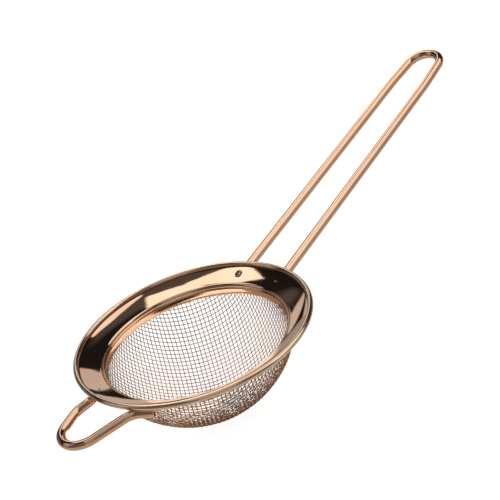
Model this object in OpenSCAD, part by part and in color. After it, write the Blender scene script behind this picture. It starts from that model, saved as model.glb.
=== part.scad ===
// Fine mesh bar strainer: a spun collar with a rolled rim, a woven wire bowl clamped in
// its throat, a hairpin wire handle and a wire rest loop, both spot welded underneath.
// The origin is the centre of the rolled rim, +Z is up and +X points along the handle.

/* [Rim and collar] */
// Radius of the rolled rim, to the middle of the roll
rim_r = 44; // [38:1:56]
// Radius of the roll itself
roll_r = 1.05; // [0.9:0.05:1.3]
// Thickness of the spun sheet
sheet_t = 0.5; // [0.4:0.1:0.6]
// Slope of the flared collar, in degrees
flare_slope = 19; // [15:1:23]
// Height of the skirt's lower edge
skirt_z = -6.6; // [-7:0.1:-6]
// Inner radius of the skirt below the throat
skirt_r = 35; // [34.6:0.1:35.4]

/* [Mesh bowl] */
// Depth of the woven bowl below the clamp ring
bowl_depth = 25.5; // [22:0.5:28]
// Radius of the bowl's shoulder, where the wall turns in
shoulder_r = 15; // [12:0.5:19]
// Thickness of the woven cloth, two wires deep
cloth_t = 0.5; // [0.4:0.1:0.6]
// Wall thickness of the clamp ring inside the throat
clamp_t = 0.3; // [0.3:0.1:0.5]
// Height of the clamp ring's lower edge
clamp_z = -7.1; // [-7.3:0.1:-6.6]

/* [Wires] */
// Diameter of the handle and rest wire
wire_d = 3.5; // [2.8:0.1:3.8]
// Reach of the handle from the rim's centre to its tip, along X
handle_reach = 169.5; // [140:0.5:200]
// Rise of the handle above the horizontal, in degrees
handle_rise = 10.3; // [6:0.1:14]
// Distance of each handle wire from the middle, at the rim
handle_half_w = 9.3; // [9:0.1:11]
// The same distance close to the tip
handle_tip_half_w = 8.1; // [7.6:0.1:8.8]
// Inner bend radius of the handle tip, to the wire's middle
handle_bend_r = 7.2; // [6.6:0.1:7.6]
// Reach of the rest loop from the rim's centre to its tip
rest_reach = 63.6; // [62:0.1:76]
// Bend radius of the rest loop's tip, to the wire's middle
rest_bend_r = 8.4; // [7:0.1:9]
// Rise of the rest loop above the horizontal, in degrees
rest_rise = -5.5; // [-6:0.5:6]
// Turn of the rest loop's tip about the bowl's axis, as bent
rest_skew = -8.2; // [-10:0.1:0]

/* [Hidden] */
$fn = 96;

plated = "#b87f5e";
satin = "#9c6b4e";

// Smoothness of the round stretches, in degrees a step
arc_step = 5;
bowl_step = 3;
bend_step = 9;
wire_sides = 24;
same_point = 0.001;

// Sheet section: the middle of the sheet runs up the skirt, round the throat, up the
// flare, round a small fillet and over the roll.
half_t = sheet_t / 2;
skirt_mid_r = skirt_r + half_t;
throat_bend_r = 1.6;
fillet_r = 1;
roll_mid_r = roll_r - half_t;
roll_end = -110;
up_flare = [cos(flare_slope), sin(flare_slope)];
off_flare = [-sin(flare_slope), cos(flare_slope)];
// The roll's middle stands this far above the flare's middle line
roll_lift = 0.5;
roll_along = (rim_r - skirt_mid_r + roll_lift * sin(flare_slope)) / cos(flare_slope);
throat_corner = [rim_r, 0] - roll_along * up_flare - roll_lift * off_flare;
throat_top_z = throat_corner.y - throat_bend_r * tan((90 - flare_slope) / 2);
fillet_gap = sqrt(pow(fillet_r + roll_mid_r, 2) - pow(fillet_r - roll_lift, 2));
fillet_centre = throat_corner + (roll_along - fillet_gap) * up_flare + fillet_r * off_flare;
to_roll = [rim_r, 0] - fillet_centre;
roll_start = atan2(to_roll.y, to_roll.x);

// Bowl section: a shoulder arc and a base arc that meet in one tangent.
cloth_mid_r = skirt_r - cloth_t / 2;
base_r = (pow(cloth_mid_r, 2) - 2 * cloth_mid_r * shoulder_r + pow(bowl_depth, 2))
    / (2 * (bowl_depth - shoulder_r));
shoulder_centre = [cloth_mid_r - shoulder_r, clamp_z];
base_centre = [0, clamp_z - bowl_depth + base_r];
to_shoulder = shoulder_centre - base_centre;
meeting_angle = atan2(to_shoulder.y, to_shoulder.x);
lip_z = -4;
lip_t = 0.5;
ring_r = skirt_r - cloth_t;

// Wires: corners of the handle and the rest loop, each rounded by its own bend radius.
wire_r = wire_d / 2;
under_gap = 0.12;
foot_gap = 0.06;
root_x = 42.5;
root_z = -roll_r - wire_r - under_gap;
handle_in_x = 37.5;
root_bend_r = 12;
tip_splay = 4.5;
waist_back = 18;
waist_bend_r = 60;
handle_length = (handle_reach - root_x) / cos(handle_rise);
handle_dir = [cos(handle_rise), 0, sin(handle_rise)];
handle_corner = handle_bend_r * tan((90 - tip_splay) / 2);
rest_splay = 16;
rest_length = (rest_reach - root_x) / cos(rest_rise);
rest_dir = [cos(rest_rise), 0, sin(rest_rise)];
rest_corner = rest_bend_r * tan((90 - rest_splay) / 2);
// Each leg of the loop bows out at this share of its length from the rim
bow_at = 0.35;
bow_bend_r = 10;
bow_half_w = rest_corner + (1 - bow_at) * rest_length * tan(rest_splay);
// The loop leans to one side, so its left and right legs differ at the rim and the foot
rest_half_w = [12.5, 9];
foot_half_w = [19.5, 11];
foot_x = 37.6;
foot_bend_r = 9;

// Spot welds, between the collar's underside and the wires
weld_d = 2.4;
weld_in = 1.4;
weld_sink = 0.2;
weld_h = 0.9;
weld_xy = [handle_in_x + weld_in, handle_half_w];
rest_weld_xy = [for (i = [0, 1]) [foot_x, foot_half_w[i]]
    + weld_in * unit([root_x - foot_x, rest_half_w[i] - foot_half_w[i]])];
mark_ball_r = 2.5;
mark_depth = 0.22;

function unit(v) = v / norm(v);
function flip_y(p) = [p.x, -p.y, p.z];
function reverse(list) = [for (i = [len(list) - 1:-1:0]) list[i]];

// Height of the sheet's underside at a radius on the flare
function under_flare(r) = throat_corner.y + (r - skirt_mid_r) * tan(flare_slope)
    - half_t / cos(flare_slope);

// Height of a wire's middle where it lies against the flare's underside
function foot_z(r) = under_flare(r) - wire_r / cos(flare_slope) - foot_gap;

// Points along an arc, both ends included
function arc(centre, r, from, to, step) = let (steps = ceil(abs(to - from) / step))
    [for (i = [0:steps]) let (a = from + (to - from) * i / steps)
        centre + r * [cos(a), sin(a)]];

// One side of the collar's sheet, off its middle line by s, positive on the outside
function collar_side(s) = concat(
    [[skirt_mid_r + s, skirt_z]],
    arc([skirt_mid_r + throat_bend_r, throat_top_z], throat_bend_r - s,
        180, 90 + flare_slope, arc_step),
    arc(fillet_centre, fillet_r + s, flare_slope - 90, roll_start, arc_step),
    arc([rim_r, 0], roll_mid_r - s, 180 + roll_start, roll_end, arc_step)
);

// One side of the woven cloth, off its middle line by s, positive on the outside
function cloth_side(s) = concat(
    [[cloth_mid_r + s, lip_z - lip_t]],
    arc(shoulder_centre, shoulder_r + s, 0, meeting_angle, bowl_step),
    arc(base_centre, base_r + s, meeting_angle, -90, bowl_step)
);

// Points round the bend that rounds corner b on the way from a to c
function bend(a, b, c, r) = let (
        u = unit(b - a), v = unit(c - b), turn = acos(u * v),
        inward = cross(unit(cross(u, v)), u),
        centre = b - r * tan(turn / 2) * u + r * inward,
        steps = ceil(turn / bend_step))
    [for (i = [0:steps]) let (a = turn * i / steps) centre + r * (sin(a) * u - cos(a) * inward)];

// The same points with each one that repeats its neighbour left out
function distinct(points) = [
    for (i = [0:len(points) - 1])
        if (i == 0 || norm(points[i] - points[max(i - 1, 0)]) > same_point) points[i]
];

// Middle line of a wire through its corners, with every inner corner rounded
function route(corners, radii) = let (last = len(corners) - 1) distinct([
    corners[0],
    for (i = [1:last - 1]) each bend(corners[i - 1], corners[i], corners[i + 1], radii[i - 1]),
    corners[last]
]);

// Round wire swept along its middle line as one closed solid
module wire(path) {
    n = len(path);
    rings = [for (i = [0:n - 1]) let (
            along = unit(path[min(i + 1, n - 1)] - path[max(i - 1, 0)]),
            side = unit(cross(along, [0, 0, 1])), up = cross(side, along))
        for (k = [0:wire_sides - 1]) let (a = 360 * k / wire_sides)
            path[i] + wire_r * (cos(a) * side + sin(a) * up)];
    walls = [for (i = [0:n - 2]) for (k = [0:wire_sides - 1]) let (
            here = i * wire_sides, next = (k + 1) % wire_sides)
        [here + k, here + wire_sides + k, here + wire_sides + next, here + next]];
    start_cap = [for (k = [0:wire_sides - 1]) k];
    end_cap = [for (k = [wire_sides - 1:-1:0]) (n - 1) * wire_sides + k];
    polyhedron(points = rings, faces = concat(walls, [start_cap, end_cap]));
}

// Shallow mark that the welding tip leaves on the inside of the collar
module weld_mark(xy) {
    top = under_flare(norm(xy)) + sheet_t / cos(flare_slope);
    lift = mark_ball_r - mark_depth;
    turn = atan2(xy.y, xy.x);
    translate([xy.x, xy.y, top]) rotate(turn)
        translate([-lift * sin(flare_slope), 0, lift * cos(flare_slope)])
            sphere(r = mark_ball_r);
}

module rim_collar() {
    color(plated) difference() {
        rotate_extrude() polygon(concat(collar_side(half_t), reverse(collar_side(-half_t))));
        weld_mark(weld_xy);
        weld_mark([weld_xy.x, -weld_xy.y]);
    }
}

module clamp_ring() {
    color(satin) rotate_extrude() polygon([
        [ring_r - clamp_t, clamp_z], [ring_r, clamp_z], [ring_r, lip_z - lip_t],
        [skirt_r, lip_z - lip_t], [skirt_r, lip_z], [ring_r - clamp_t, lip_z]
    ]);
}

module mesh_bowl() {
    color(satin) rotate_extrude()
        polygon(concat(cloth_side(cloth_t / 2), reverse(cloth_side(-cloth_t / 2))));
}

module handle_wire() {
    root = [root_x, 0, root_z];
    waist = root + (handle_length - waist_back) * handle_dir;
    tip = root + handle_length * handle_dir;
    side = [
        [handle_in_x, handle_half_w, foot_z(norm([handle_in_x, handle_half_w]))],
        root + [0, handle_half_w, 0],
        waist + [0, handle_tip_half_w, 0],
        tip + [0, handle_corner, 0]
    ];
    radii = [root_bend_r, waist_bend_r, handle_bend_r];
    color(plated)
        wire(route(concat(side, reverse([for (p = side) flip_y(p)])), concat(radii, reverse(radii))));
}

// Corners of one leg of the rest loop, from its foot to its tip
function rest_leg(i) = let (root = [root_x, 0, root_z]) [
    [foot_x, foot_half_w[i], foot_z(norm([foot_x, foot_half_w[i]]))],
    root + [0, rest_half_w[i], 0],
    root + bow_at * rest_length * rest_dir + [0, bow_half_w, 0],
    root + rest_length * rest_dir + [0, rest_corner, 0]
];

module rest_wire() {
    radii = [foot_bend_r, bow_bend_r, rest_bend_r];
    corners = concat(rest_leg(0), reverse([for (p = rest_leg(1)) flip_y(p)]));
    color(plated) rotate(180 + rest_skew) wire(route(corners, concat(radii, reverse(radii))));
}

// Fused nugget that joins a wire to the underside of the collar
module weld(xy) {
    color(satin) translate([xy.x, xy.y, under_flare(norm(xy)) + weld_sink - weld_h])
        cylinder(h = weld_h, d = weld_d);
}

module handle_weld_left() { weld(weld_xy); }
module handle_weld_right() { weld([weld_xy.x, -weld_xy.y]); }
module rest_weld_left() { rotate(180 + rest_skew) weld(rest_weld_xy[0]); }
module rest_weld_right() { rotate(180 + rest_skew) weld([rest_weld_xy[1].x, -rest_weld_xy[1].y]); }

rim_collar();
clamp_ring();
mesh_bowl();
handle_wire();
rest_wire();
handle_weld_left();
handle_weld_right();
rest_weld_left();
rest_weld_right();
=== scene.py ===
"""Looks and light for the fine mesh bar strainer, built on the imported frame."""

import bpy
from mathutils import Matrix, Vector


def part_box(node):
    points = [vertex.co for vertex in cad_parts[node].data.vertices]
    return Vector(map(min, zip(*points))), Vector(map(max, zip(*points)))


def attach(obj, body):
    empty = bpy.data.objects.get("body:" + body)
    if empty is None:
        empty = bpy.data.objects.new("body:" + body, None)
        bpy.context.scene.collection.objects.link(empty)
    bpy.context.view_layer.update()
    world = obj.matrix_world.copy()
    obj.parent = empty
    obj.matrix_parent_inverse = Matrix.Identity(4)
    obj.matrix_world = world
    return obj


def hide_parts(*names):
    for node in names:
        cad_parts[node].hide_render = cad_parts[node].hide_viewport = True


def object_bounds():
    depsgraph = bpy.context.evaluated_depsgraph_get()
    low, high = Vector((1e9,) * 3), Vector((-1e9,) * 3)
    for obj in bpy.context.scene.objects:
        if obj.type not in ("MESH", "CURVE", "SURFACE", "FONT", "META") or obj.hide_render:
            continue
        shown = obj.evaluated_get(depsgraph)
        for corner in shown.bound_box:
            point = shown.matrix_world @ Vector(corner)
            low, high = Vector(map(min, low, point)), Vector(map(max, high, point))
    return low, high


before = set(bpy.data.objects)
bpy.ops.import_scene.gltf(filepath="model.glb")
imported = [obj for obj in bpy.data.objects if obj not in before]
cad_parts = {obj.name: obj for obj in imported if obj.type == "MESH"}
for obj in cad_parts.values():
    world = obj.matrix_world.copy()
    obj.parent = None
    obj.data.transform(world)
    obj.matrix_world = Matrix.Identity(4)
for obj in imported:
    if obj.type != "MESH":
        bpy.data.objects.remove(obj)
cad_box = [list(corner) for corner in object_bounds()]

import math

import bpy
import numpy as np
from mathutils import Euler

MM = 0.001

# ---------------------------------------------------------------- camera
# A long lens on a 36 mm sensor, 0.7 m from the rim's centre, looking down at 30 degrees.
camera_data = bpy.data.cameras.new("camera")
camera_data.lens = 144
camera_data.sensor_width = 36
camera_data.clip_end = 50
camera = bpy.data.objects.new("camera", camera_data)
camera.location = (-0.40153, -0.4737, 0.3632)
camera.rotation_euler = Euler([math.radians(a) for a in (60.023, 16.39, -52.22)])
bpy.context.collection.objects.link(camera)
bpy.context.scene.camera = camera
bpy.context.scene.view_settings.view_transform = "Standard"

# ---------------------------------------------------------------- sizes, in millimetres
RIM_R, ROLL_R, SHEET = 44.0, 1.05, 0.5
FLARE = math.radians(19)
FLARE_SAG = 0.2
SKIRT_R, SKIRT_Z = 35.0, -6.6
# The throat's bend and the fillet under the roll are tighter than on the CAD solid.
THROAT_BEND, FILLET, ROLL_LIFT = 0.9, 0.45, 0.5
ROLL_END = math.radians(-110)
CLOTH_R, CLOTH_Z, LIP_Z = 34.75, -7.1, -4.25
BOWL_DEPTH, SHOULDER_R = 25.5, 15.0
RING_IN, RING_OUT, RING_LOW, RING_STEP, RING_TOP = 34.2, 34.5, -7.1, -4.5, -4.0
RING_EDGE, RING_ROUND = 0.08, 0.75
PITCH, CLOTH_WIRE_R = 1.606, 0.14

# Handle and rest loop: half widths are from the middle to a wire's middle.
WIRE_R, END_ROUND = 1.75, 0.25
UNDER_GAP, FOOT_GAP = 0.12, 0.06
ROOT_X, ROOT_Z = 42.5, -ROLL_R - WIRE_R - UNDER_GAP
HANDLE_FOOT_X, HANDLE_REACH, WAIST_BACK = 37.5, 169.5, 18
HANDLE_HALF, HANDLE_TIP_HALF = 9.3, 8.1
ROOT_BEND, WAIST_BEND, TIP_BEND = 12, 60, 7.2
HANDLE_RISE, TIP_SPLAY = math.radians(10.3), math.radians(4.5)
REST_FOOT_X, REST_REACH = 37.6, 63.6
REST_FEET_HALF, REST_ROOTS_HALF = (19.5, 11), (12.5, 9)
FOOT_BEND, BOW_BEND, LOOP_BEND = 9, 10, 8.4
REST_RISE, REST_SPLAY = math.radians(-5.5), math.radians(16)
REST_TURN = math.radians(180 - 8.2)
BOW_AT = 0.35

# Marks of the welding tip on the flare, over the handle's left and right foot.
MARK_AT = [(38.9, HANDLE_HALF), (38.9, -HANDLE_HALF)]
MARK_DEPTHS, MARK_R, MARK_SOFT = (0.34, 0.02), 1.15, 0.17


# ---------------------------------------------------------------- mesh helpers
def make(name, points_mm, faces, metal, nodes, sharp=None, uv=None):
    """One smooth mesh piece, given in millimetres, that stands for some CAD nodes."""
    data = bpy.data.meshes.new(name)
    data.from_pydata((np.asarray(points_mm) * MM).tolist(), [], faces)
    data.update()
    data.shade_smooth()
    if sharp is not None:
        data.set_sharp_from_angle(angle=math.radians(sharp))
    if uv is not None:
        layer = data.uv_layers.new(name="along")
        corners = np.empty(len(data.loops), dtype=np.int64)
        data.loops.foreach_get("vertex_index", corners)
        layer.data.foreach_set("uv", np.asarray(uv)[corners].ravel())
    piece = bpy.data.objects.new(name, data)
    bpy.context.collection.objects.link(piece)
    data.materials.append(metal)
    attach(piece, "root")
    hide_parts(*nodes)


def unit(v):
    """A vector, or each row of vectors, at length one."""
    v = np.asarray(v, float)
    return v / np.linalg.norm(v, axis=-1, keepdims=True)


def arc(centre, r, start, end, steps):
    """Points on an arc, both ends included."""
    return [(centre[0] + r * math.cos(a), centre[1] + r * math.sin(a))
            for a in np.linspace(start, end, steps + 1)]


def lathe(loop, segments, fine_at=(), fine_half=0.055, fine_step=0.003):
    """Points and faces of a closed section turned round Z, finer at the given turns."""
    loop = np.asarray(loop)
    turns = np.arange(segments) * 2 * math.pi / segments
    for middle in fine_at:
        turns = turns[np.abs(turns - middle) > fine_half]
        turns = np.append(turns, np.arange(middle - fine_half, middle + fine_half, fine_step))
    turns = np.sort(turns)
    segments = len(turns)
    n = len(loop)
    points = np.empty((segments, n, 3))
    points[:, :, 0] = np.cos(turns)[:, None] * loop[:, 0]
    points[:, :, 1] = np.sin(turns)[:, None] * loop[:, 0]
    points[:, :, 2] = loop[:, 1]
    faces = []
    for i in range(segments):
        a, b = i * n, (i + 1) % segments * n
        faces.extend((a + k, b + k, b + (k + 1) % n, a + (k + 1) % n) for k in range(n))
    return points.reshape(-1, 3), faces


def tube(path, up, radius, sides):
    """Points, faces and (round, along) coordinates of a capped round tube on a path."""
    path, up = np.asarray(path), np.asarray(up)
    along = np.empty_like(path)
    along[1:-1] = path[2:] - path[:-2]
    along[0], along[-1] = path[1] - path[0], path[-1] - path[-2]
    along = unit(along)
    side = unit(np.cross(along, up))
    top = np.cross(side, along)
    turns = np.arange(sides) * 2 * math.pi / sides
    ring = np.cos(turns)[None, :, None] * side[:, None] + np.sin(turns)[None, :, None] * top[:, None]
    radius = np.broadcast_to(radius, len(path))[:, None, None]
    points = (path[:, None] + radius * ring).reshape(-1, 3)
    n = len(path)
    faces = []
    for i in range(n - 1):
        a, b = i * sides, (i + 1) * sides
        faces.extend((a + k, a + (k + 1) % sides, b + (k + 1) % sides, b + k) for k in range(sides))
    faces.append(tuple(range(sides - 1, -1, -1)))
    faces.append(tuple(range((n - 1) * sides, n * sides)))
    length = np.concatenate([[0], np.cumsum(np.linalg.norm(np.diff(path, axis=0), axis=1))])
    uv = np.stack([np.tile(turns / (2 * math.pi), n), np.repeat(length * MM, sides)], 1)
    return points, faces, uv


# ---------------------------------------------------------------- materials
def material(name):
    """A new material, its node tree and its shader."""
    made = bpy.data.materials.new(name)
    made.use_nodes = True
    tree = made.node_tree
    shader = tree.nodes["Principled BSDF"]
    return made, tree, shader


def node(tree, kind, inputs=(), **settings):
    """A new node, with each input linked to a socket or set to a value."""
    made = tree.nodes.new(kind)
    for key, value in settings.items():
        setattr(made, key, value)
    for key, value in dict(inputs).items():
        socket = made.inputs[key]
        if isinstance(value, bpy.types.NodeSocket):
            tree.links.new(value, socket)
        else:
            socket.default_value = value
    return made


def noise(tree, where, scale, detail=2.0, rough=0.5):
    return node(tree, "ShaderNodeTexNoise", {"Vector": where, "Scale": scale,
                "Detail": detail, "Roughness": rough}).outputs["Fac"]


def remap(tree, value, low, high, new_low, new_high):
    return node(tree, "ShaderNodeMapRange", {"Value": value, "From Min": low, "From Max": high,
                "To Min": new_low, "To Max": new_high}).outputs["Result"]


def blend(tree, factor, a, b):
    """Colour a where the factor is 0, and b where it is 1."""
    made = node(tree, "ShaderNodeMix", data_type="RGBA")
    for index, value in ((0, factor), (6, a), (7, b)):
        if isinstance(value, bpy.types.NodeSocket):
            tree.links.new(value, made.inputs[index])
        else:
            made.inputs[index].default_value = value
    return made.outputs[2]


def stretched(tree, where, scale):
    return node(tree, "ShaderNodeMapping", {"Vector": where, "Scale": scale}).outputs["Vector"]


def around(tree, where):
    """Cylinder coordinates about the bowl's axis: turn, radius and height."""
    split = node(tree, "ShaderNodeSeparateXYZ", {"Vector": where})
    x, y, z = split.outputs
    turn = node(tree, "ShaderNodeMath", {0: y, 1: x}, operation="ARCTAN2").outputs[0]
    flat = node(tree, "ShaderNodeCombineXYZ", {"X": x, "Y": y}).outputs[0]
    radius = node(tree, "ShaderNodeVectorMath", {0: flat}, operation="LENGTH").outputs["Value"]
    return node(tree, "ShaderNodeCombineXYZ", {"X": turn, "Y": radius, "Z": z}).outputs[0]


# Noise cells to the metre, bump heights in metres, and the hairlines' stretch along
# (turn, radius, height) on turned pieces or (round, along) on wires.
CLOUDS, HAZE, WAVES, WEAR = 70, 130, 150, 350
WAVE_HEIGHT, LINE_HEIGHT = 0.0006, 0.00001
ROUND_LINES, WIRE_LINES = (1.2, 9000, 9000), (60, 90, 1)


def plated(name, light, deep, smooth, dull, waviness, lines, round_lines):
    """Plated metal: cloudy plating colour, hazy patches, hairlines and a faint waviness."""
    made, tree, shader = material(name)
    shader.inputs["Metallic"].default_value = 1.0
    where = node(tree, "ShaderNodeTexCoord").outputs["Object"]
    clouds = remap(tree, noise(tree, where, CLOUDS, 3), 0.3, 0.7, 0, 1)
    tree.links.new(blend(tree, clouds, (*light, 1), (*deep, 1)), shader.inputs["Base Color"])
    haze = remap(tree, noise(tree, where, HAZE, 4, 0.6), 0.35, 0.75, 0, 1)
    if round_lines:
        line_space = stretched(tree, around(tree, where), ROUND_LINES)
    else:
        on_wire = node(tree, "ShaderNodeUVMap", uv_map="along").outputs[0]
        line_space = stretched(tree, on_wire, WIRE_LINES)
    hair = noise(tree, line_space, 1.0, 3, 0.6)
    grain = node(tree, "ShaderNodeMath", {0: haze, 1: remap(tree, hair, 0.3, 0.7, -lines, lines)},
                 operation="ADD", use_clamp=True).outputs[0]
    tree.links.new(remap(tree, grain, 0, 1, smooth, dull), shader.inputs["Roughness"])
    wave = node(tree, "ShaderNodeBump", {"Strength": waviness, "Distance": WAVE_HEIGHT,
                "Height": noise(tree, where, WAVES, 1.5, 0.4)}).outputs[0]
    fine = node(tree, "ShaderNodeBump", {"Strength": 0.25 * lines, "Distance": LINE_HEIGHT,
                "Height": hair, "Normal": wave}).outputs[0]
    tree.links.new(fine, shader.inputs["Normal"])
    return made


# Where the bead's wear and the painted shade in the crease fade in and out, in millimetres
BEAD_EDGE = (43.0, 43.2)
CREASE_IN, CREASE_OUT, CREASE_TOP = (42.7, 42.9), (43.6, 43.3), (0.1, -0.3)


def worn_rim_and_crease_shade(made, worn, worn_rough, crease_shade):
    """Paler, rubbed plating on the rolled bead, and painted shade: a dark band in the crease where it meets
    the flare.
    """
    tree = made.node_tree
    shader = tree.nodes["Principled BSDF"]
    where = node(tree, "ShaderNodeTexCoord").outputs["Object"]
    _, radius, height = node(tree, "ShaderNodeSeparateXYZ", {"Vector": around(tree, where)}).outputs

    def times(a, b):
        return node(tree, "ShaderNodeMath", {0: a, 1: b}, operation="MULTIPLY").outputs[0]

    def fade(value, start, end):
        return remap(tree, value, start * MM, end * MM, 0, 1)

    patchy = remap(tree, noise(tree, where, WEAR, 3), 0.3, 0.6, 0.7, 1)
    wear = times(fade(radius, *BEAD_EDGE), patchy)
    # Painted shade: the crease under the bead is darkened in the base colour
    crease_shade_mask = times(fade(height, *CREASE_TOP),
                      times(fade(radius, *CREASE_IN), fade(radius, *CREASE_OUT)))
    plain = shader.inputs["Base Color"].links[0].from_socket
    paler = blend(tree, wear, plain, (*worn, 1))
    tree.links.new(blend(tree, crease_shade_mask, paler, (*crease_shade, 1)), shader.inputs["Base Color"])
    smooth = shader.inputs["Roughness"].links[0].from_socket
    rubbed = node(tree, "ShaderNodeMath", {0: smooth, 1: times(wear, worn_rough)}, operation="ADD")
    tree.links.new(rubbed.outputs[0], shader.inputs["Roughness"])


# Painted shade at a weld dent: the softness of its edge in millimetres, and the size of its unshaded part
DENT_SHADE_SOFT, UNSHADED_SHARE = 0.12, 0.62


def dent_shade(made, mark, radius, shift, colour):
    """Painted shade round a weld mark, in millimetres: a dark crescent on one side of the dent; shift is
    how far off its unshaded part lies.
    """
    tree = made.node_tree
    shader = tree.nodes["Principled BSDF"]
    where = node(tree, "ShaderNodeTexCoord").outputs["Object"]
    level = node(tree, "ShaderNodeVectorMath", {0: where, 1: (1, 1, 0)}, operation="MULTIPLY")

    def near(x, y, edge):
        away = node(tree, "ShaderNodeVectorMath", {0: level.outputs[0], 1: (x * MM, y * MM, 0)},
                    operation="DISTANCE").outputs["Value"]
        return remap(tree, away, (edge - DENT_SHADE_SOFT) * MM, (edge + DENT_SHADE_SOFT) * MM, 1, 0)

    inside = near(*mark, radius)
    unshaded = near(mark[0] + shift[0], mark[1] + shift[1], UNSHADED_SHARE * radius)
    kept = node(tree, "ShaderNodeMath", {0: 1.0, 1: unshaded}, operation="SUBTRACT").outputs[0]
    # Painted shade: dark over the mark, except where the unshaded part lies
    painted_shade = node(tree, "ShaderNodeMath", {0: inside, 1: kept}, operation="MULTIPLY").outputs[0]
    plain = shader.inputs["Base Color"].links[0].from_socket
    tree.links.new(blend(tree, painted_shade, plain, (*colour, 1)), shader.inputs["Base Color"])


ROSE, DEEP_ROSE = (0.86, 0.585, 0.42), (0.82, 0.52, 0.355)
collar_metal = plated("polished_collar", ROSE, DEEP_ROSE, 0.035, 0.075, 0.05, 0.15, True)
# Wear on the bead, and painted shade darkening the crease under it
worn_rim_and_crease_shade(collar_metal, (0.92, 0.7, 0.52), 0.13, (0.16, 0.09, 0.06))
# Painted shade: a near-black crescent on one side of the left weld dent
dent_shade(collar_metal, MARK_AT[0], 1.3, (0.6, 0.05), (0.05, 0.025, 0.015))
wire_metal = plated("polished_wire", ROSE, DEEP_ROSE, 0.07, 0.14, 0.04, 0.3, False)
satin_metal = plated("satin_band", (0.86, 0.55, 0.36), (0.8, 0.49, 0.31), 0.1, 0.18, 0.05, 0.35, True)
weld_metal = plated("weld_metal", (0.5, 0.34, 0.25), (0.24, 0.16, 0.12), 0.25, 0.5, 0.5, 0.2, True)
cloth_metal = plated("cloth_wire", (0.58, 0.31, 0.155), (0.41, 0.21, 0.1), 0.28, 0.42, 0.0, 0.3, False)


# ---------------------------------------------------------------- rolled collar
WALL_STEPS, THROAT_STEPS, FLARE_STEPS, FILLET_STEPS, ROLL_STEPS = 2, 12, 33, 5, 28


def collar_section():
    """Closed outline of the spun sheet, whose flare sags a little between its bends."""
    half = SHEET / 2
    mid_r, roll_mid = SKIRT_R + half, ROLL_R - half
    up = np.array([math.cos(FLARE), math.sin(FLARE)])
    off = np.array([-math.sin(FLARE), math.cos(FLARE)])
    rim = np.array([RIM_R, 0.0])
    length = (RIM_R - mid_r + ROLL_LIFT * math.sin(FLARE)) / math.cos(FLARE)
    corner = rim - length * up - ROLL_LIFT * off
    throat = (mid_r + THROAT_BEND, corner[1] - THROAT_BEND * math.tan((math.pi / 2 - FLARE) / 2))
    gap = math.sqrt((FILLET + roll_mid) ** 2 - (FILLET - ROLL_LIFT) ** 2)
    fillet = corner + (length - gap) * up + FILLET * off
    roll_start = math.atan2(*(rim - fillet)[::-1])

    def side(s):
        """One face of the sheet, s off its middle, positive on the outside."""
        wall = [(mid_r + s, z) for z in np.linspace(SKIRT_Z, throat[1], WALL_STEPS + 1)[:-1]]
        low_bend = arc(throat, THROAT_BEND - s, math.pi, math.pi / 2 + FLARE, THROAT_STEPS)
        high_bend = arc(fillet, FILLET + s, FLARE - math.pi / 2, roll_start, FILLET_STEPS)
        a, b = np.array(low_bend[-1]), np.array(high_bend[0])
        flare = [tuple(a + (b - a) * t - off * FLARE_SAG * 4 * t * (1 - t))
                 for t in np.linspace(0, 1, FLARE_STEPS + 1)[1:-1]]
        roll = arc(rim, roll_mid - s, math.pi + roll_start, ROLL_END, ROLL_STEPS)
        return wall + low_bend + flare + high_bend[:-1] + roll

    return side(half) + side(-half)[::-1]


def weld_marks(points):
    """Shallow round marks that the welding tip left on the collar's upper side."""
    radius = np.hypot(points[:, 0], points[:, 1])
    middle = (radius - RIM_R) * math.tan(FLARE) - ROLL_LIFT / math.cos(FLARE)
    upper = points[:, 2] > middle - FLARE_SAG
    for (x, y), deep in zip(MARK_AT, MARK_DEPTHS):
        away = np.hypot(points[:, 0] - x, points[:, 1] - y)
        dip = deep * 0.5 * (1 - np.tanh((away - MARK_R) / MARK_SOFT))
        points[:, 2] -= np.where(upper, dip, 0)


mark_turns = [math.atan2(y, x) % (2 * math.pi) for x, y in MARK_AT]
collar_points, collar_faces = lathe(collar_section(), 480, mark_turns)
weld_marks(collar_points)
make("collar", collar_points, collar_faces, collar_metal, ["rim_collar"], sharp=40)

# ---------------------------------------------------------------- clamp ring
RING_CHAMFER, RING_GAP, TOP_FLAT, EDGE_MID = 0.02, 0.01, 0.05, 0.03
# A point on the inner wall that keeps the rounding's shading off the wall below it
RING_WALL_Z = -5.5
ring_section = [
    (RING_IN + RING_EDGE, RING_LOW), (RING_OUT - RING_CHAMFER, RING_LOW),
    (RING_OUT, RING_LOW + RING_CHAMFER), (RING_OUT, RING_STEP), (SKIRT_R - RING_GAP, RING_STEP),
    (SKIRT_R - RING_GAP, RING_TOP - RING_CHAMFER),
    *arc((SKIRT_R - TOP_FLAT, RING_TOP - RING_ROUND), RING_ROUND, math.pi / 2, math.pi, 16),
    (RING_IN, RING_WALL_Z), (RING_IN, RING_LOW + RING_EDGE),
    (RING_IN + EDGE_MID, RING_LOW + EDGE_MID),
]
ring_points, ring_faces = lathe(ring_section, 360)
make("clamp_band", ring_points, ring_faces, satin_metal, ["clamp_ring"], sharp=50)


# ---------------------------------------------------------------- handle and rest wires
def bend(a, b, c, r, step=math.radians(3)):
    """Points round the bend that rounds corner b on the way from a to c."""
    u, v = unit(b - a), unit(c - b)
    turn = math.acos(float(np.clip(u @ v, -1, 1)))
    inward = np.cross(unit(np.cross(u, v)), u)
    centre = b - r * math.tan(turn / 2) * u + r * inward
    angles = np.linspace(0, turn, max(2, math.ceil(turn / step)) + 1)
    return [centre + r * (math.sin(t) * u - math.cos(t) * inward) for t in angles]


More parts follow.
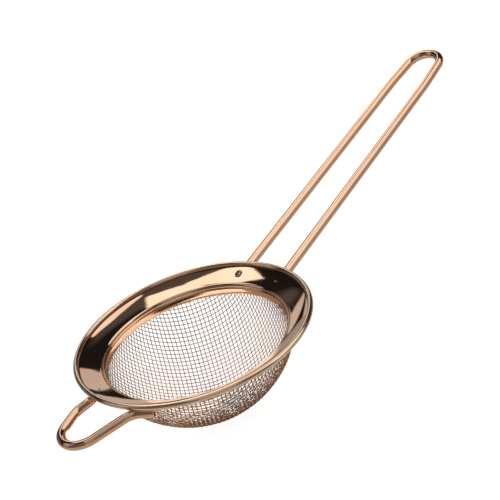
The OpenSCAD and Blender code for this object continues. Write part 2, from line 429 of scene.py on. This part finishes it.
def route(corners, radii, spacing=2.0):
    """Even middle line of a wire through its corners, with every inner corner rounded."""
    path = [corners[0]]
    for i in range(1, len(corners) - 1):
        path += bend(corners[i - 1], corners[i], corners[i + 1], radii[i - 1])
    path.append(corners[-1])
    even = [path[0]]
    for p in path[1:]:
        gap = np.linalg.norm(p - even[-1])
        if gap < 0.02:
            continue
        pieces = max(1, math.ceil(gap / spacing))
        start = even[-1]
        even += [start + (p - start) * (k + 1) / pieces for k in range(pieces)]
    return np.array(even)


def rounded_end(path, radius):
    """Adds rings that round off the cut ends, and gives the radius at each ring."""
    edge = END_ROUND
    steps = [(0.0, radius - edge), (edge * 0.3, radius - edge * 0.3), (edge, radius)]
    first, last = unit(path[1] - path[0]), unit(path[-2] - path[-1])
    head = [path[0] + first * d for d, _ in steps]
    tail = [path[-1] + last * d for d, _ in steps][::-1]
    radii = [r for _, r in steps]
    middle = path[1:-1]
    return (np.array(head + list(middle) + tail),
            np.array(radii + [radius] * len(middle) + radii[::-1]))


WIRE_SIDES = 40


def wire_piece(name, legs, leg_radii, turn, nodes):
    """A hairpin wire, from its left leg's corners and its right leg's, foot first."""
    left, right = ([np.array(c, float) for c in leg] for leg in legs)
    corners = left + [c * (1, -1, 1) for c in right[::-1]]
    path = route(corners, leg_radii + leg_radii[::-1])
    spin = np.array([[math.cos(turn), -math.sin(turn), 0],
                     [math.sin(turn), math.cos(turn), 0], [0, 0, 1]])
    path, radii = rounded_end(path @ spin.T, WIRE_R)
    up = np.tile((0.0, 0.0, 1.0), (len(path), 1))
    points, faces, uv = tube(path, up, radii, WIRE_SIDES)
    make(name, points, faces, wire_metal, nodes, sharp=60, uv=uv)


def flare_under(r):
    """Height of the sheet's underside at a radius on the flare."""
    return ((r - RIM_R) * math.tan(FLARE) - (ROLL_LIFT + SHEET / 2) / math.cos(FLARE))


def foot_z(x, y):
    """Height of a wire's middle where it lies against the flare's underside."""
    return flare_under(math.hypot(x, y)) - WIRE_R / math.cos(FLARE) - FOOT_GAP


def out(distance, rise):
    """A point along a wire's slope, starting under the rim."""
    return np.array([ROOT_X + distance * math.cos(rise), 0, ROOT_Z + distance * math.sin(rise)])


handle_length = (HANDLE_REACH - ROOT_X) / math.cos(HANDLE_RISE)
handle_corner = TIP_BEND * math.tan((math.pi / 2 - TIP_SPLAY) / 2)
handle_leg = [
    (HANDLE_FOOT_X, HANDLE_HALF, foot_z(HANDLE_FOOT_X, HANDLE_HALF)),
    out(0, HANDLE_RISE) + (0, HANDLE_HALF, 0),
    out(handle_length - WAIST_BACK, HANDLE_RISE) + (0, HANDLE_TIP_HALF, 0),
    out(handle_length, HANDLE_RISE) + (0, handle_corner, 0),
]
wire_piece("handle_rod", [handle_leg, handle_leg], [ROOT_BEND, WAIST_BEND, TIP_BEND], 0,
           ["handle_wire"])

rest_length = (REST_REACH - ROOT_X) / math.cos(REST_RISE)
rest_corner = LOOP_BEND * math.tan((math.pi / 2 - REST_SPLAY) / 2)
bow_half = rest_corner + (1 - BOW_AT) * rest_length * math.tan(REST_SPLAY)
rest_legs = [[
    (REST_FOOT_X, foot, foot_z(REST_FOOT_X, foot)), out(0, REST_RISE) + (0, half, 0),
    out(BOW_AT * rest_length, REST_RISE) + (0, bow_half, 0),
    out(rest_length, REST_RISE) + (0, rest_corner, 0),
] for foot, half in zip(REST_FEET_HALF, REST_ROOTS_HALF)]
wire_piece("rest_rod", rest_legs, [FOOT_BEND, BOW_BEND, LOOP_BEND], REST_TURN, ["rest_wire"])


# ---------------------------------------------------------------- spot welds
def weld_piece(name, seed, node_name):
    """A squashed, uneven bead of fused metal between a wire and the collar."""
    low, high = (np.array(c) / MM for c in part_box(node_name))
    centre, half = (low + high) / 2, (high - low) / 2
    rows, turns = 12, 28
    points = [centre + (0, 0, half[2])]
    random = np.random.default_rng(seed)
    phase = random.uniform(0, 2 * math.pi, 3)
    for i in range(1, rows):
        lat = math.pi * i / rows
        for k in range(turns):
            lon = 2 * math.pi * k / turns
            lump = 1 - 0.05 * (1 + math.sin(3 * lon + phase[0]) * math.sin(2 * lat + phase[1]))
            flat = math.copysign(abs(math.cos(lat)) ** 0.6, math.cos(lat))
            points.append(centre + half * (lump * math.sin(lat) ** 0.5 * math.cos(lon),
                                           lump * math.sin(lat) ** 0.5 * math.sin(lon), flat))
    points.append(centre - (0, 0, half[2]))
    faces = [(0, 1 + k, 1 + (k + 1) % turns) for k in range(turns)]
    for i in range(rows - 2):
        a, b = 1 + i * turns, 1 + (i + 1) * turns
        faces += [(a + k, b + k, b + (k + 1) % turns, a + (k + 1) % turns) for k in range(turns)]
    last = len(points) - 1
    faces += [(last, last - turns + (k + 1) % turns, last - turns + k) for k in range(turns)]
    make(name, points, faces, weld_metal, [node_name])


for seed, weld in enumerate(("handle_weld_left", "handle_weld_right", "rest_weld_left", "rest_weld_right")):
    weld_piece(weld + "_bead", seed, weld)

# ---------------------------------------------------------------- woven cloth
base_r = ((CLOTH_R ** 2 - 2 * CLOTH_R * SHOULDER_R + BOWL_DEPTH ** 2)
          / (2 * (BOWL_DEPTH - SHOULDER_R)))
base_z = CLOTH_Z - BOWL_DEPTH + base_r
shoulder_in = CLOTH_R - SHOULDER_R
meeting = math.atan2(shoulder_in, base_z - CLOTH_Z)
base_length = base_r * meeting
shoulder_length = SHOULDER_R * (math.pi / 2 - meeting)


def profile(s):
    """Radius, height and outward normal of the cloth at distance s from its middle."""
    if s < base_length:
        a = s / base_r
        return base_r * math.sin(a), base_z - base_r * math.cos(a), math.sin(a), -math.cos(a)
    if s < base_length + shoulder_length:
        a = meeting + (s - base_length) / SHOULDER_R
        return (shoulder_in + SHOULDER_R * math.sin(a), CLOTH_Z - SHOULDER_R * math.cos(a),
                math.sin(a), -math.cos(a))
    return CLOTH_R, CLOTH_Z + s - base_length - shoulder_length, 1.0, 0.0


def on_cloth(s, turn):
    """The point on the cloth at distance s from its middle and at a turn round the axis."""
    r, z, _, _ = profile(s)
    return np.array([r * math.cos(turn), r * math.sin(turn), z])


def next_node(a, b):
    """The crossing one pitch on from crossings a and b, as (s, turn), by Newton's method."""
    small_s, small_turn = 1e-5, 1e-6
    pa, pb = on_cloth(*a), on_cloth(*b)
    s, turn = max(a[0], b[0]) + 0.6 * PITCH, (a[1] + b[1]) / 2
    for _ in range(12):
        p = on_cloth(s, turn)
        miss = np.array([(p - pa) @ (p - pa), (p - pb) @ (p - pb)]) - PITCH ** 2
        if abs(miss).max() < 1e-9:
            break
        ds = (on_cloth(s + small_s, turn) - p) / small_s
        dt = (on_cloth(s, turn + small_turn) - p) / small_turn
        slope = 2 * np.array([[(p - pa) @ ds, (p - pa) @ dt], [(p - pb) @ ds, (p - pb) @ dt]])
        step = np.linalg.solve(slope, -miss)
        s, turn = s + float(np.clip(step[0], -1, 1)), turn + float(np.clip(step[1], -0.3, 0.3))
    return s, turn


def quarter_net():
    """Crossings of one quarter of the cloth, as {(i, j): (s, turn)}."""
    limit = base_length + shoulder_length + (LIP_Z - CLOTH_Z) + 1.5 * PITCH
    count = int(limit / PITCH) + 1
    net = {}
    for i in range(count):
        net[i, 0] = (i * PITCH, math.pi / 4)
        net[0, i] = (i * PITCH, -math.pi / 4)
    for i in range(1, count):
        for j in range(1, count):
            a, b = net.get((i - 1, j)), net.get((i, j - 1))
            if a is None or b is None:
                continue
            found = next_node(a, b)
            if found[0] <= limit:
                net[i, j] = found
    return net


def whole_net():
    """Crossings of the whole cloth, as {(i, j): (point, normal)}."""
    whole = {}
    for (a, b), (s, turn) in quarter_net().items():
        r, z, out_r, out_z = profile(s)
        for quarter, key in enumerate(((a, b), (b, -a), (-a, -b), (-b, a))):
            t = turn + quarter * math.pi / 2
            c, d = math.cos(t), math.sin(t)
            whole[key] = (np.array([r * c, r * d, z]), np.array([out_r * c, out_r * d, out_z]))
    return whole


# Rings to a pitch, sides to a wire, and how far each wire's grain is shifted from the last
RINGS, CLOTH_SIDES, GRAIN_SHIFT = 4, 6, (0.37, 0.11)


def woven(net, family, over_first):
    """Every wire of one family as one mesh: each goes over and under the other family."""
    lines = {}
    for key in net:
        lines.setdefault(key[1 - family], []).append(key[family])
    all_points, all_faces, all_uv, start = [], [], [], 0
    for line, steps in sorted(lines.items()):
        steps = sorted(steps)
        if len(steps) < 4:
            continue
        keys = [(s, line) if family == 0 else (line, s) for s in steps]
        nodes = np.array([net[k][0] for k in keys])
        normals = np.array([net[k][1] for k in keys])
        signs = np.array([1 if (k[0] + k[1] + over_first) % 2 else -1 for k in keys])
        path, up = [], []
        for i in range(len(keys) - 1):
            p0, p1 = nodes[max(i - 1, 0)], nodes[i]
            p2, p3 = nodes[i + 1], nodes[min(i + 2, len(keys) - 1)]
            for k in range(RINGS):
                t = k / RINGS
                point = 0.5 * (2 * p1 + (p2 - p0) * t + (2 * p0 - 5 * p1 + 4 * p2 - p3) * t * t
                               + (3 * p1 - p0 - 3 * p2 + p3) * t ** 3)
                normal = unit(normals[i] * (1 - t) + normals[i + 1] * t)
                lift = signs[i] * CLOTH_WIRE_R * math.cos(math.pi * t)
                path.append(point + normal * lift)
                up.append(normal)
        path, up = np.array(path), np.array(up)
        keep = path[:, 2] < LIP_Z - 0.1
        path, up = path[keep], up[keep]
        if len(path) < 3 * RINGS:
            continue
        points, faces, uv = tube(path, up, CLOTH_WIRE_R, CLOTH_SIDES)
        all_points.append(points)
        all_faces += [tuple(v + start for v in f) for f in faces]
        all_uv.append(uv + (GRAIN_SHIFT[0] * line, GRAIN_SHIFT[1] * line))
        start += len(points)
    return np.concatenate(all_points), all_faces, np.concatenate(all_uv)


net = whole_net()
for name, family, over_first in (("warp_wires", 0, 0), ("weft_wires", 1, 1)):
    points, faces, uv = woven(net, family, over_first)
    make(name, points, faces, cloth_metal, ["mesh_bowl"], sharp=75, uv=uv)

# ---------------------------------------------------------------- floor
floor_size, floor_gap, card_lift = 3.0, 0.0002, 0.0001
floor_z = cad_box[0][2] - floor_gap
floor_data = bpy.data.meshes.new("floor")
floor_data.from_pydata([(x * floor_size, y * floor_size, floor_z) for x, y in
                        ((-1, -1), (1, -1), (1, 1), (-1, 1))], [], [(0, 1, 2, 3)])
floor = bpy.data.objects.new("floor", floor_data)
bpy.context.collection.objects.link(floor)
floor_material, _, shader = material("pale_floor")
shader.inputs["Base Color"].default_value = (0.9, 0.9, 0.9, 1)
shader.inputs["Roughness"].default_value = 0.9
shader.inputs["Specular IOR Level"].default_value = 0.0
shader.inputs["Emission Color"].default_value = (1, 1, 1, 1)
shader.inputs["Emission Strength"].default_value = 0.7
floor_data.materials.append(floor_material)
floor.visible_glossy = False


def table_patch(name, low, high, power):
    """A lit or dark patch of the floor by the bowl, in millimetres, seen only in reflections."""
    data = bpy.data.meshes.new(name)
    data.from_pydata([(x * MM, y * MM, floor_z + card_lift) for x, y in
                      (low, (high[0], low[1]), high, (low[0], high[1]))], [], [(0, 1, 2, 3)])
    card = bpy.data.objects.new(name, data)
    bpy.context.collection.objects.link(card)
    lit, _, shader = material(name)
    shader.inputs["Base Color"].default_value = (0, 0, 0, 1)
    shader.inputs["Specular IOR Level"].default_value = 0.0
    shader.inputs["Emission Color"].default_value = (1, 0.98, 0.95, 1)
    shader.inputs["Emission Strength"].default_value = power
    data.materials.append(lit)
    card.visible_camera = card.visible_diffuse = card.visible_shadow = False
    card.visible_transmission = card.visible_volume_scatter = False


table_patch("table_patch_left", (-28, 1), (3, 33), 2.2)
table_patch("table_patch_right", (11, -20), (48, 24), 2.0)
table_patch("table_patch_dark", (-26, -26), (9, -0.5), 0.0)

# ---------------------------------------------------------------- studio light
world = bpy.data.worlds.new("studio")
bpy.context.scene.world = world
world.use_nodes = True
sky = world.node_tree
sky.nodes.clear()


def calc(operation, a, b=None):
    """One step of arithmetic in the sky's nodes, on sockets or numbers."""
    made = node(sky, "ShaderNodeMath", operation=operation)
    for index, value in ((0, a), (1, b)):
        if value is None:
            continue
        if isinstance(value, bpy.types.NodeSocket):
            sky.links.new(value, made.inputs[index])
        else:
            made.inputs[index].default_value = value
    return made.outputs[0]


toward = node(sky, "ShaderNodeTexCoord").outputs["Generated"]
tx, ty, tz = node(sky, "ShaderNodeSeparateXYZ", {"Vector": toward}).outputs

# The sky is laid out flat, in degrees from straight up: AHEAD runs the way the camera looks
# and RIGHT to its right, so a distance of 90 is the horizon.
LOOK = math.radians(50)
from_top = calc("MULTIPLY", calc("ARCCOSINE", tz), 180 / math.pi)
flat_squared = calc("ADD", calc("MULTIPLY", tx, tx), calc("MULTIPLY", ty, ty))
level = calc("MAXIMUM", calc("SQRT", flat_squared), 1e-4)
ratio = calc("DIVIDE", from_top, level)
ahead = calc("MULTIPLY", ratio, calc("ADD", calc("MULTIPLY", tx, math.cos(LOOK)),
                                     calc("MULTIPLY", ty, math.sin(LOOK))))
right = calc("MULTIPLY", ratio, calc("SUBTRACT", calc("MULTIPLY", tx, math.sin(LOOK)),
                                     calc("MULTIPLY", ty, math.cos(LOOK))))


def panel(corners, power, soft=1.5, colour=(1, 0.98, 0.95)):
    """Light of one soft-edged panel; corners are (right, ahead) in degrees.

    The panel is what lies inside the line through every two neighbouring corners, so
    a corner that points inwards cuts off what is beyond its two lines.
    """
    corners = np.array(corners, float)
    middle = corners.mean(axis=0)
    mask = None
    for a, b in zip(corners, np.roll(corners, -1, axis=0)):
        across = unit(np.array([a[1] - b[1], b[0] - a[0]]))
        if (middle - a) @ across < 0:
            across = -across
        inside = calc("ADD", calc("MULTIPLY", right, float(across[0])),
                      calc("MULTIPLY", ahead, float(across[1])))
        edge = remap(sky, inside, float(a @ across) - soft / 2, float(a @ across) + soft / 2, 0, 1)
        mask = edge if mask is None else calc("MULTIPLY", mask, edge)
    return node(sky, "ShaderNodeVectorMath", {0: tuple(c * power for c in colour), "Scale": mask},
                operation="SCALE").outputs[0]


WARM, PLAIN = (1, 0.98, 0.94), (1, 1, 0.99)
panels = [
    # key softbox over the far side, in two panes
    panel([(-16.5, 46), (-11.8, 42.5), (-9.8, 40), (-2.5, 40), (-2.5, 22.2), (-14, 18.2),
           (-24.5, 20), (-22.8, 28.5), (-19, 38)], 1.5, 1, WARM),
    panel([(-5, 44), (-4, 24), (0, 22.8), (9, 18.8), (4.5, 43)], 1.5, 1, WARM),
    # bright wall behind the object, down past the horizon
    panel([(-8, 44), (4.5, 42), (3, 80), (-7, 80)], 1.25, 1.5, WARM),
    panel([(-7, 78), (7, 78), (7, 119), (-7, 119)], 1.1, 2, WARM),
    # pale screen overhead, on the camera's side
    panel([(-15, 5), (15, 5), (18, -40), (-18, -40)], 0.5, 3, WARM),
    # faint haze on the far left of the ceiling
    panel([(-11, 53), (-22, 53), (-25, 60), (-11, 61)], 0.09, 5, PLAIN),
    # fill softbox on the right: a bright pane, then a dim one further out
    panel([(10.5, 16), (17.2, 28), (25, 36.3), (31, 34), (58, 24), (60, -30), (17.5, -8)],
          1.15, 1, WARM),
    panel([(54, 26), (86, 12), (86, -44), (56, -32)], 0.5, 6, WARM),
    # pale cards low on the far side, on the right and on the left
    panel([(9, 60.5), (21.5, 57.5), (29, 57.5), (34, 66), (26, 74), (18, 74.5), (10, 67.5)],
          0.64, 1, PLAIN),
    panel([(3, 72), (9, 71.5), (19.5, 79), (34, 80), (34, 95), (3, 95)], 0.6, 1.5, PLAIN),
    panel([(-30, 61.5), (-10, 65), (-9, 75), (-15, 75), (-22.5, 66.5)], 0.66, 1, PLAIN),
    panel([(-24, 67), (-16.5, 76), (-20, 80), (-27, 67)], 0.6, 1, PLAIN),
    panel([(-5, 76), (-34, 76), (-34, 92), (-6, 90)], 0.4, 3, PLAIN),
    # dim ceiling
    panel([(-24, 18), (6, 34), (26, 46), (16, 10), (0, -8), (-20, 0)], 0.085, 8, PLAIN),
    # the room on the camera's side: its lighter middle, and all of it
    panel([(-15, -40), (20, -40), (40, -105), (-30, -105)], 0.3, 12, PLAIN),
    panel([(-120, -18), (120, -18), (120, -130), (-120, -130)], 0.13, 10, WARM),
    # broad panel on the left, then the dim walls at the far left and the far right
    panel([(-36, -8), (-36, 30), (-88, 16), (-88, -14)], 0.42, 5, WARM),
    panel([(-34, 50), (-34, 95), (-75, 80), (-75, 30)], 0.14, 6, PLAIN),
    panel([(34, 52), (34, 95), (80, 75), (80, 30)], 0.05, 8, PLAIN),
]
total = node(sky, "ShaderNodeRGB").outputs[0]
total.default_value = (0.012, 0.0125, 0.013, 1)
for light in panels:
    total = node(sky, "ShaderNodeVectorMath", {0: total, 1: light}, operation="MAXIMUM").outputs[0]
# In place of the floor, reflections see a warm glow that fades in just below the horizon.
ground = remap(sky, from_top, 94, 104, 0, 1)
ground_glow = node(sky, "ShaderNodeVectorMath", {0: (0.54, 0.46, 0.38), "Scale": ground},
                   operation="SCALE").outputs[0]
total = node(sky, "ShaderNodeVectorMath", {0: total, 1: ground_glow}, operation="MAXIMUM").outputs[0]

# Reflections see the panels, and all other light comes from one even white dome.
mirrored = node(sky, "ShaderNodeBackground", {"Color": total, "Strength": 1.0})
even = node(sky, "ShaderNodeBackground", {"Color": (1, 1, 1, 1), "Strength": 0.5})
path_kind = node(sky, "ShaderNodeLightPath")
chosen = node(sky, "ShaderNodeMixShader", {0: path_kind.outputs["Is Glossy Ray"],
              1: even.outputs[0], 2: mirrored.outputs[0]})
node(sky, "ShaderNodeOutputWorld", {"Surface": chosen.outputs[0]})
